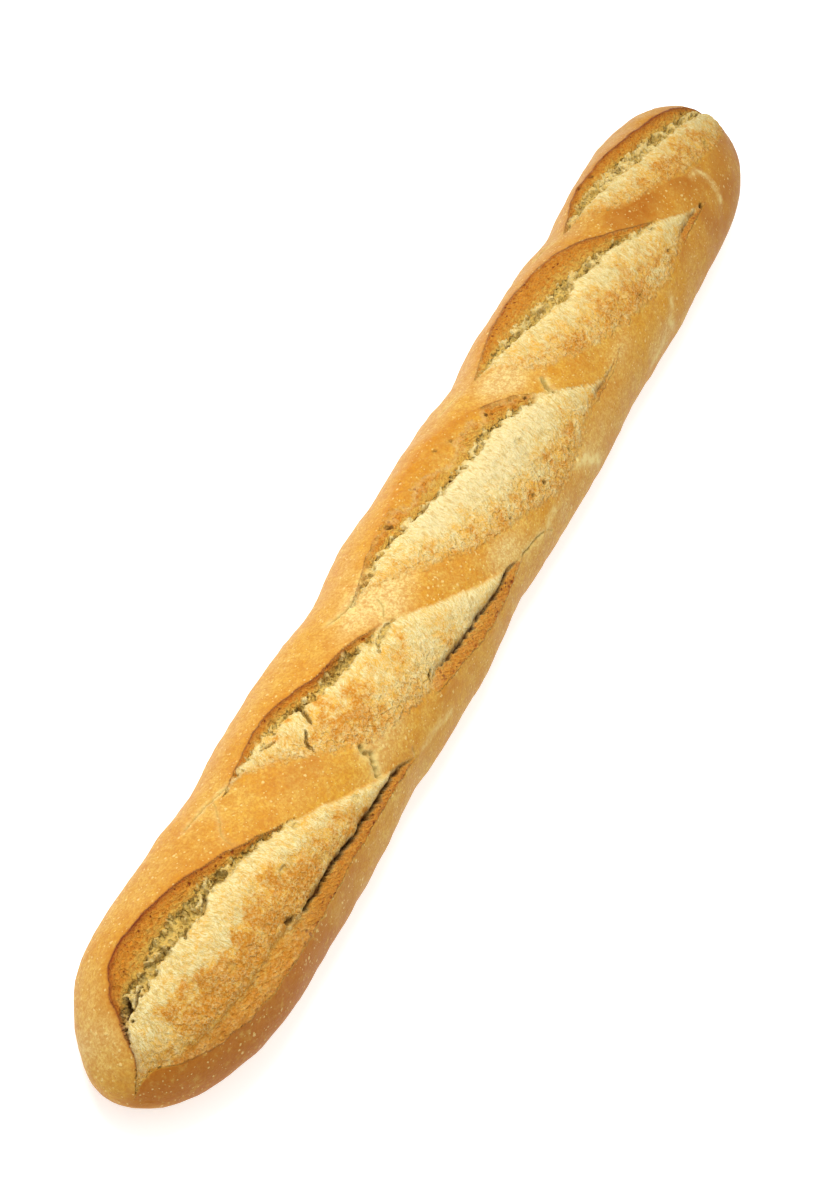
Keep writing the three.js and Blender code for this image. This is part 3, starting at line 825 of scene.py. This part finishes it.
def tinted(red, green, blue):
    # the studio is bright enough to bleach the floor, so a colour as it looks there needs a darker paint
    def straight(value):
        value = value / 255
        return value / 12.92 if value <= 0.04045 else ((value + 0.055) / 1.055) ** 2.4
    return (*(straight(value) / studio["brightness"] for value in (red, green, blue)), 1)


def addNode(tree, kind, inputs=None, **settings):
    made = tree.nodes.new(kind)
    for name, value in settings.items():
        setattr(made, name, value)
    for socket, value in (inputs or {}).items():
        if isinstance(value, bpy.types.NodeSocket):
            tree.links.new(value, made.inputs[socket])
        else:
            made.inputs[socket].default_value = value
    return made


def attributeOf(tree, name, output="Fac"):
    return addNode(tree, "ShaderNodeAttribute", attribute_name=name).outputs[output]


def maths(tree, operation, first, second=0.5):
    return addNode(tree, "ShaderNodeMath", {0: first, 1: second}, operation=operation).outputs[0]


def vectorMaths(tree, operation, inputs):
    return addNode(tree, "ShaderNodeVectorMath", inputs, operation=operation).outputs[0]


def times(tree, first, second):
    return maths(tree, "MULTIPLY", first, second)


def summed(tree, *parts):
    total = parts[0]
    for part in parts[1:]:
        total = maths(tree, "ADD", total, part)
    return total


def between(tree, value, low, high, toLow=0.0, toHigh=1.0):
    made = addNode(tree, "ShaderNodeMapRange", {
        "Value": value, "From Min": low, "From Max": high, "To Min": toLow, "To Max": toHigh},
        interpolation_type="SMOOTHSTEP")
    return made.outputs[0]


def mixColour(tree, factor, first, second):
    return addNode(tree, "ShaderNodeMix", {0: factor, 6: first, 7: second}, data_type="RGBA").outputs[2]


def mixValue(tree, factor, first, second):
    return addNode(tree, "ShaderNodeMix", {0: factor, 2: first, 3: second}).outputs[0]


def painted(tree, colour, *layers):
    # one colour after another over the first, each through its mask
    for mask, over in layers:
        colour = mixColour(tree, mask, colour, over)
    return colour


def noiseNode(tree, where, size, detail=3.0, rough=0.55, warp=0.0):
    made = addNode(tree, "ShaderNodeTexNoise", {
        "Vector": where, "Scale": 1 / size, "Detail": detail, "Roughness": rough, "Distortion": warp})
    return made.outputs["Fac"]


def stretched(tree, where, along, across):
    return vectorMaths(tree, "MULTIPLY", {0: where, 1: (1 / along, 1 / across, 1)})


def newGroup(name, inputs, outputs):
    group = bpy.data.node_groups.new(name, "ShaderNodeTree")
    for socket, kind, value in inputs:
        made = group.interface.new_socket(socket, in_out="INPUT", socket_type=kind)
        if value is not None:
            made.default_value = value
    for socket, kind in outputs:
        group.interface.new_socket(socket, in_out="OUTPUT", socket_type=kind)
    return group, group.nodes.new("NodeGroupInput"), group.nodes.new("NodeGroupOutput")


def spotsGroup():
    # round spots of uneven size, one at most in each cell: blisters on the crust, pores in the crumb
    group, given, result = newGroup("spots", [
        ("Place", "NodeSocketVector", None), ("Spacing", "NodeSocketFloat", 4.0),
        ("Radius", "NodeSocketFloat", 0.4), ("Share", "NodeSocketFloat", 0.5)], [("Mask", "NodeSocketFloat")])
    place = given.outputs["Place"]
    wobble = addNode(group, "ShaderNodeTexNoise", {"Vector": place, "Scale": 0.9, "Detail": 1.0})
    shift = vectorMaths(group, "SUBTRACT", {0: wobble.outputs["Color"], 1: (0.5, 0.5, 0.5)})
    moved = vectorMaths(group, "MULTIPLY_ADD", {0: shift, 1: (0.9, 0.9, 0.9), 2: place})
    cells = addNode(group, "ShaderNodeTexVoronoi", {
        "Vector": moved, "Scale": maths(group, "DIVIDE", 1.0, given.outputs["Spacing"])})
    gap = times(group, cells.outputs["Distance"], given.outputs["Spacing"])
    luck = addNode(group, "ShaderNodeSeparateColor", {0: cells.outputs["Color"]})
    size = times(group, given.outputs["Radius"], between(group, luck.outputs["Green"], 0.0, 1.0, 0.5, 1.4))
    spot = between(group, maths(group, "DIVIDE", gap, size), 1.25, 0.55)
    chosen = maths(group, "LESS_THAN", luck.outputs["Red"], given.outputs["Share"])
    group.links.new(times(group, spot, chosen), result.inputs["Mask"])
    return group


def patchesGroup():
    # ragged patches: a broad noise, its edge broken up by a finer one
    group, given, result = newGroup("patches", [
        ("Place", "NodeSocketVector", None), ("Size", "NodeSocketFloat", 12.0),
        ("Bias", "NodeSocketFloat", 0.0), ("Soft", "NodeSocketFloat", 0.1)], [("Mask", "NodeSocketFloat")])
    broad = addNode(group, "ShaderNodeTexNoise", {
        "Vector": given.outputs["Place"], "Scale": maths(group, "DIVIDE", 1.0, given.outputs["Size"]),
        "Detail": 6.0, "Roughness": 0.74, "Distortion": 0.4})
    level = maths(group, "ADD", broad.outputs["Fac"], given.outputs["Bias"])
    low = maths(group, "SUBTRACT", 0.5, given.outputs["Soft"])
    high = maths(group, "ADD", 0.5, given.outputs["Soft"])
    group.links.new(between(group, level, low, high), result.inputs["Mask"])
    return group


def foamGroup():
    # foam: 1 in a cell's middle, falling to 0 in the thin walls between cells
    group, given, result = newGroup("foam", [
        ("Place", "NodeSocketVector", None), ("Size", "NodeSocketFloat", 2.0),
        ("Warp", "NodeSocketFloat", 1.0)], [("Mask", "NodeSocketFloat")])
    place = given.outputs["Place"]
    wobble = addNode(group, "ShaderNodeTexNoise", {"Vector": place, "Scale": 0.5, "Detail": 3.0})
    shift = vectorMaths(group, "SUBTRACT", {0: wobble.outputs["Color"], 1: (0.5, 0.5, 0.5)})
    scaled = vectorMaths(group, "SCALE", {0: shift, "Scale": given.outputs["Warp"]})
    moved = vectorMaths(group, "ADD", {0: scaled, 1: place})
    cells = addNode(group, "ShaderNodeTexVoronoi", {
        "Vector": moved, "Scale": maths(group, "DIVIDE", 1.0, given.outputs["Size"])},
        feature="DISTANCE_TO_EDGE")
    group.links.new(between(group, cells.outputs["Distance"], 0.02, 0.3), result.inputs["Mask"])
    return group


def placed(tree, group, place, **inputs):
    inputs["Place"] = place
    return addNode(tree, "ShaderNodeGroup", inputs, node_tree=group).outputs[0]


# The paints, as each looks under the studio's light.
tones = {
    "golden": (228, 170, 46), "goldenPale": (240, 206, 104), "palest": (247, 224, 146),
    "orange": (216, 140, 22), "brownAndShade": (184, 108, 16), "flank": (226, 181, 108), "under": (196, 136, 62),
    "grain": (198, 124, 34), "blister": (252, 218, 134),
    "seam": (250, 226, 146), "rim": (224, 150, 50), "lip": (146, 54, 16),
    "torn": (230, 148, 42), "tornDark": (184, 92, 24), "tornPale": (240, 190, 84), "poreShade": (130, 36, 10),
    "crumb": (253, 236, 174), "crumbDeep": (240, 206, 120), "crumbShade": (208, 168, 86),
    "toasted": (244, 184, 70), "toastedDark": (216, 138, 34),
    "gapShade": (172, 142, 64), "gapDarkShade": (104, 58, 22), "gapString": (232, 190, 88),
    "crumbPale": (243, 227, 174),
}


def crustColour(tree, tone, groups, place, fine, bloom):
    toastAndShade, patches, spots = attributeOf(tree, "toastAndShade"), groups["patches"], groups["spots"]
    broad = placed(tree, patches, place, Size=42.0, Soft=0.16)
    middling = placed(tree, patches, place, Size=11.0, Soft=0.2)
    mottle = noiseNode(tree, place, 2.6, 4, 0.7)
    below = maths(tree, "ABSOLUTE", attributeOf(tree, "round"))
    blisters = placed(tree, spots, place, Spacing=3.0, Radius=0.46, Share=0.6)
    specks = placed(tree, spots, place, Spacing=1.4, Radius=0.27, Share=0.5)
    pale = times(tree, attributeOf(tree, "pale"), between(tree, bloom, 0.35, 0.6, 0.25, 0.95))
    # the toast brown is partly painted shade on the right flank
    colour = painted(
        tree, tone["golden"],
        (times(tree, broad, 0.8), tone["orange"]),
        (times(tree, middling, 0.6), tone["goldenPale"]),
        (times(tree, attributeOf(tree, "paled"), 0.85), tone["flank"]),
        (between(tree, toastAndShade, 0.0, 1.0), tone["brownAndShade"]),
        (between(tree, toastAndShade, 0.0, -1.0), tone["palest"]),
        (times(tree, attributeOf(tree, "lipNear"), 0.8), tone["orange"]),
        (between(tree, below, 1.9, 2.5, 0.0, 0.8), tone["under"]),
        (between(tree, mottle, 0.6, 0.35, 0.0, 0.46), tone["grain"]),
        (between(tree, bloom, 0.5, 0.75, 0.0, 0.45), tone["goldenPale"]),
        (between(tree, fine, 0.62, 0.38, 0.0, 0.5), tone["grain"]),
        (times(tree, blisters, 0.75), tone["blister"]),
        (times(tree, specks, 0.75), tone["blister"]),
        (pale, tone["seam"]))
    relief = summed(tree, times(tree, fine, 0.22), times(tree, blisters, 0.14), times(tree, specks, 0.08))
    return colour, relief


def crumbColour(tree, tone, groups, place, fine, bloom):
    grain, across = attributeOf(tree, "grain", "Vector"), attributeOf(tree, "across")
    roast, patches = attributeOf(tree, "roast"), groups["patches"]
    # the strands run across the slash and drift
    drift = times(tree, noiseNode(tree, place, 9.0, 1), 5.0)
    push = addNode(tree, "ShaderNodeCombineXYZ", {"X": drift}).outputs[0]
    bent = vectorMaths(tree, "ADD", {0: push, 1: grain})
    fibres = noiseNode(tree, stretched(tree, bent, 0.55, 1.6), 1.0, 3, 0.6, 1.1)
    strands = noiseNode(tree, stretched(tree, bent, 1.2, 3.2), 1.0, 3, 0.6, 0.8)
    # beyond the middle it is foam, toasted in blotches
    cells = placed(tree, groups["foam"], place, Size=2.9, Warp=2.6)
    small = placed(tree, groups["foam"], place, Size=1.15, Warp=1.2)
    foamy = between(tree, summed(tree, across, times(tree, bloom, 0.8)), 0.6, 1.2)
    lean = summed(tree, between(tree, across, 0.0, 0.7, -0.09, 0.02), times(tree, roast, 0.16))
    toasted = placed(tree, patches, place, Size=6.0, Bias=lean, Soft=0.11)
    stipple = between(tree, summed(tree, fine, times(tree, fibres, 0.6)), 0.62, 0.95)
    dark = placed(tree, patches, place, Size=5.0, Bias=maths(tree, "SUBTRACT", lean, 0.07), Soft=0.08)
    darkMask = times(tree, dark, times(tree, toasted, between(tree, fine, 0.7, 0.4, 0.35, 0.95)))
    wallHere = times(tree, foamy, between(tree, bloom, 0.4, 0.65))
    # painted shade in the crumb's pores
    pores = placed(tree, groups["spots"], place, Spacing=2.6, Radius=0.34, Share=0.35)
    shadedPores = times(tree, pores, between(tree, across, 0.4, 0.85, 0.05, 0.9))
    colour = painted(
        tree, tone["crumbDeep"],
        (between(tree, fibres, 0.38, 0.6), tone["crumb"]),
        (between(tree, roast, 0.0, -1.0, 0.0, 0.5), tone["crumbPale"]),
        (between(tree, strands, 0.52, 0.34, 0.0, 0.62), tone["crumbShade"]),
        (times(tree, cells, times(tree, foamy, 0.35)), tone["toasted"]),
        (times(tree, toasted, mixValue(tree, stipple, 1.0, 0.45)), tone["toasted"]),
        (darkMask, tone["toastedDark"]),
        (times(tree, between(tree, small, 0.35, 0.0, 0.0, 0.3), wallHere), tone["crumb"]),
        (times(tree, shadedPores, 0.75), tone["brownAndShade"]))
    combed = times(tree, summed(tree, times(tree, fibres, 0.5), times(tree, strands, 0.32)),
                   between(tree, across, 0.0, 0.3, 0.45, 1.0))
    hollowed = times(tree, times(tree, cells, foamy), -0.45)
    relief = summed(tree, combed, times(tree, small, -0.08), times(tree, bloom, 0.5),
                    hollowed, times(tree, shadedPores, -0.5), times(tree, fine, 0.3))
    return colour, relief


def tornColour(tree, tone, groups, place, fine, bloom):
    grain, depth = attributeOf(tree, "grain", "Vector"), attributeOf(tree, "tornDepth")
    pull = noiseNode(tree, stretched(tree, grain, 3.0, 1.0), 1.0, 4, 0.65, 0.6)
    cells = placed(tree, groups["foam"], place, Size=1.9, Warp=1.8)
    level = summed(tree, times(tree, pull, 1.7), times(tree, bloom, 1.5), times(tree, depth, 1.2))
    # painted shade in the torn face's pores
    pores = placed(tree, groups["spots"], place, Spacing=2.2, Radius=0.5, Share=0.45)
    shadedPores = times(tree, pores, between(tree, depth, 0.75, 0.4, 0.15, 0.95))
    colour = painted(
        tree, tone["tornDark"],
        (between(tree, level, 1.35, 1.85), tone["torn"]),
        (between(tree, level, 2.15, 2.75), tone["tornPale"]),
        (between(tree, fine, 0.6, 0.38, 0.0, 0.4), tone["tornDark"]),
        (between(tree, cells, 0.45, 0.0, 0.0, 0.2), tone["tornPale"]),
        (times(tree, shadedPores, 0.9), tone["poreShade"]))
    relief = summed(tree, times(tree, pull, 1.5), times(tree, cells, -0.3), times(tree, shadedPores, -0.6),
                    times(tree, fine, 0.3))
    return colour, relief


# How the crust and the crumb take the light. Light goes a little way into bread, and red light furthest.
finish = {
    "crustRough": (0.5, 0.64),
    "crumbRough": 0.9,
    "gloss": 0.12,
    "soft": 0.1, "softReach": (1.0, 0.45, 0.18), "softDepth": 0.0009,
}


def breadMaterial():
    bread = bpy.data.materials.new("bread")
    bread.use_nodes = True
    tree = bread.node_tree
    tree.nodes.clear()
    groups = {"spots": spotsGroup(), "patches": patchesGroup(), "foam": foamGroup()}
    tone = {name: tinted(*value) for name, value in tones.items()}
    metres = addNode(tree, "ShaderNodeTexCoord").outputs["Object"]
    place = addNode(tree, "ShaderNodeMapping", {
        "Vector": metres, "Scale": (1 / mm, 1 / mm, 1 / mm)}).outputs[0]
    fine = noiseNode(tree, place, 1.0, 3, 0.62)
    bloom = noiseNode(tree, place, 3.4, 4, 0.65)
    crust, crustRelief = crustColour(tree, tone, groups, place, fine, bloom)
    inner, crumbRelief = crumbColour(tree, tone, groups, place, fine, bloom)
    ripped, tornRelief = tornColour(tree, tone, groups, place, fine, bloom)

    crumb, torn = attributeOf(tree, "crumb"), attributeOf(tree, "torn")
    broken = between(tree, summed(tree, fine, bloom), 1.15, 0.8, 0.25, 0.9)
    rimMask = times(tree, attributeOf(tree, "rim"), broken)
    inner = mixColour(tree, rimMask, inner, tone["rim"])
    # the trench: painted shade in its foam cells, with pale strings between them
    gapCells = placed(tree, groups["foam"], place, Size=3.2, Warp=3.0)
    cellShade = times(tree, between(tree, gapCells, 0.1, 0.75), between(tree, bloom, 0.35, 0.6, 0.3, 0.9))
    gap = mixColour(tree, cellShade, tone["gapString"], tone["gapShade"])
    # the lip's dark edge and the painted shade below it
    lipAndShadeMask = times(tree, attributeOf(tree, "lip"), between(tree, bloom, 0.3, 0.6, 0.55, 1.0))
    # over crust and crumb go the torn faces, then painted shade in the trench, the slits, the holes and the
    # cracks, then the lips' dark edges with painted shade below them
    colour = painted(
        tree, crust,
        (crumb, inner),
        (times(tree, torn, between(tree, crumb, 0.0, 0.5)), ripped),
        (times(tree, attributeOf(tree, "hollow"), 0.85), gap),
        (attributeOf(tree, "dark"), tone["gapDarkShade"]),
        (times(tree, attributeOf(tree, "crack"), 0.8), tone["gapShade"]),
        (lipAndShadeMask, tone["lip"]))

    relief = mixValue(tree, crumb, crustRelief, crumbRelief)
    relief = mixValue(tree, torn, relief, tornRelief)
    gapRelief = summed(tree, times(tree, gapCells, -0.6), times(tree, fine, 0.4))
    relief = mixValue(tree, attributeOf(tree, "hollow"), relief, gapRelief)
    bump = addNode(tree, "ShaderNodeBump", {"Height": relief, "Strength": 1.0, "Distance": mm})
    crustRough = between(tree, bloom, 0.2, 0.8, *finish["crustRough"])
    rough = mixValue(tree, crumb, crustRough, finish["crumbRough"])
    shader = addNode(tree, "ShaderNodeBsdfPrincipled", {
        "Base Color": colour, "Roughness": rough, "Normal": bump.outputs[0],
        "Specular IOR Level": finish["gloss"], "Subsurface Weight": finish["soft"],
        "Subsurface Radius": finish["softReach"], "Subsurface Scale": finish["softDepth"]})
    out = addNode(tree, "ShaderNodeOutputMaterial")
    tree.links.new(shader.outputs[0], out.inputs[0])
    return bread


def makeFloor():
    bpy.ops.object.select_all(action="DESELECT")
    bpy.ops.mesh.primitive_plane_add(size=studio["floorSize"])
    floor = bpy.context.object
    floor.name = "floor"
    paper = bpy.data.materials.new("paleFloor")
    paper.use_nodes = True
    shader = paper.node_tree.nodes["Principled BSDF"]
    grey = studio["floorGrey"]
    shader.inputs["Base Color"].default_value = (grey, grey, grey, 1)
    shader.inputs["Roughness"].default_value = 0.9
    shader.inputs["Specular IOR Level"].default_value = 0.1
    shader.inputs["Emission Color"].default_value = (1, 1, 1, 1)
    shader.inputs["Emission Strength"].default_value = studio["glow"]
    floor.data.materials.append(paper)


def makeCamera():
    tilt, roll = math.radians(studio["tilt"]), math.radians(studio["roll"])
    back = Vector((-math.cos(tilt), 0, math.sin(tilt)))
    right = Vector((0, -1, 0))
    up = back.cross(right)
    turnedRight = right * math.cos(roll) + up * math.sin(roll)
    turnedUp = up * math.cos(roll) - right * math.sin(roll)
    bpy.ops.object.camera_add()
    camera = bpy.context.object
    camera.data.sensor_fit = "VERTICAL"
    camera.data.sensor_height = studio["sensor"]
    camera.data.lens = studio["lens"]
    turn = Matrix((turnedRight, turnedUp, back)).transposed().to_4x4()
    camera.matrix_world = Matrix.Translation(Vector(studio["target"]) + back * studio["distance"]) @ turn
    bpy.context.scene.camera = camera


def makeLights():
    world = bpy.data.worlds.new("studio")
    bpy.context.scene.world = world
    world.use_nodes = True
    world.node_tree.nodes["Background"].inputs[0].default_value = (1, 1, 1, 1)
    world.node_tree.nodes["Background"].inputs[1].default_value = studio["world"]
    place = Vector(studio["keyPlace"])
    bpy.ops.object.light_add(type="AREA", location=place)
    key = bpy.context.object
    key.name = "key"
    key.data.shape = "DISK"
    key.data.size = studio["keySize"]
    key.data.energy = studio["key"]
    key.rotation_euler = (place - Vector(studio["keyAim"])).to_track_quat("Z", "Y").to_euler()
    bpy.context.scene.view_settings.view_transform = "Standard"


loaf = startLoaf()
print("loaf mesh", len(loaf.data.vertices), "points",
      sum(len(face.vertices) - 2 for face in loaf.data.polygons), "triangles")
sculptLoaf(loaf)
bpy.ops.object.shade_smooth()
loaf.data.materials.append(breadMaterial())
print("loaf sculpted")
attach(loaf, "root")
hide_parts("baguette")
makeFloor()
makeCamera()
makeLights()
print("studio set")
